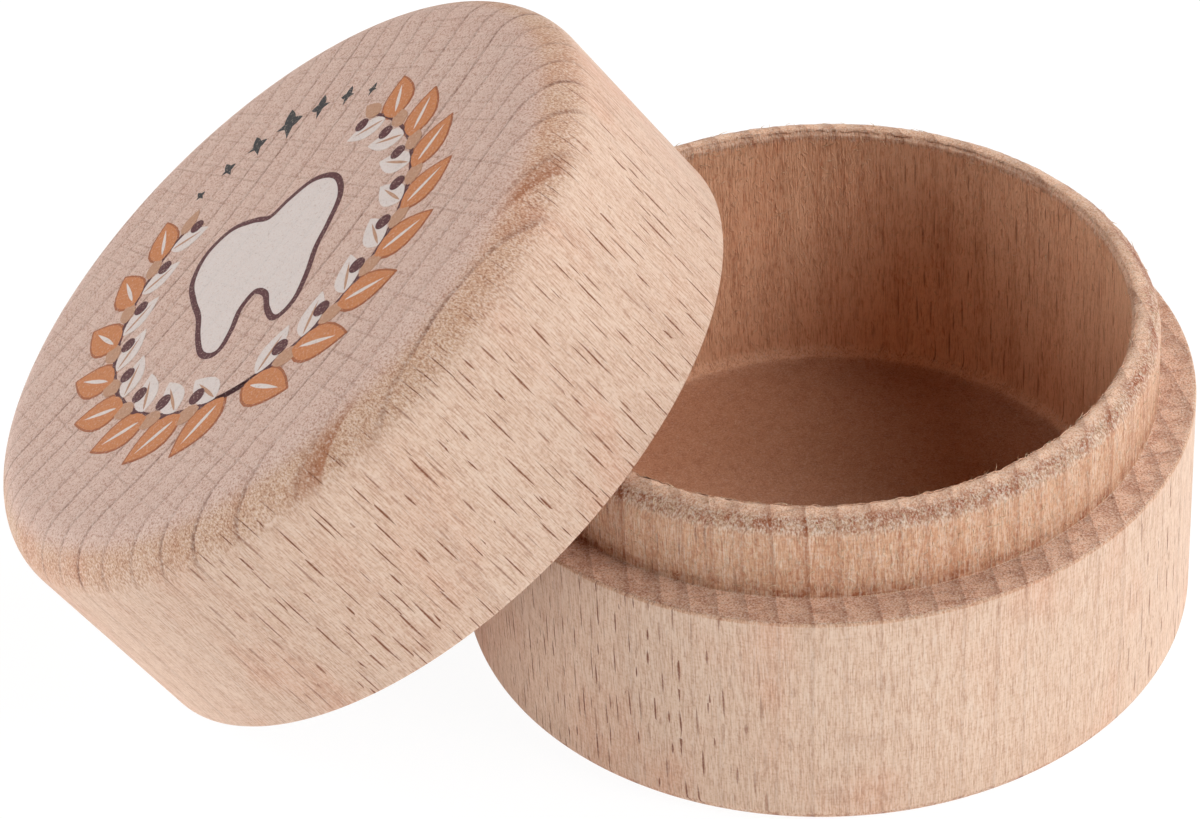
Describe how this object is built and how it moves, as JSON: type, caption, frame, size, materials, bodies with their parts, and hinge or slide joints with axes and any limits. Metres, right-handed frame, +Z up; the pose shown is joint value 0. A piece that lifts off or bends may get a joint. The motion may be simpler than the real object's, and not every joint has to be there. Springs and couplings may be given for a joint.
{
  "type": "baby tooth box",
  "caption": "Small round turned wooden keepsake box for milk teeth; its printed lid is off and leans on the base.",
  "frame": {"origin": "centre of the base's flat underside, on the surface that the box stands on", "axes": "+Z up along the base's axis; the lid leans on the -X side; Y is square to the plane that halves both pieces"},
  "size_m": [0.0805, 0.05, 0.0416],
  "materials": {
    "base_wood": "bare sanded beech",
    "lid_wood": "bare sanded beech with a printed top"
  },
  "bodies": {
    "base": {"base": "base_wood"},
    "lid": {"lid": "lid_wood"}
  },
  "joints": [
    {"name": "lid_lift", "type": "slide", "parent": "base", "child": "lid", "axis": [-0.5775, 0, 0.8164], "range_m": [0, 0.03]}
  ]
}
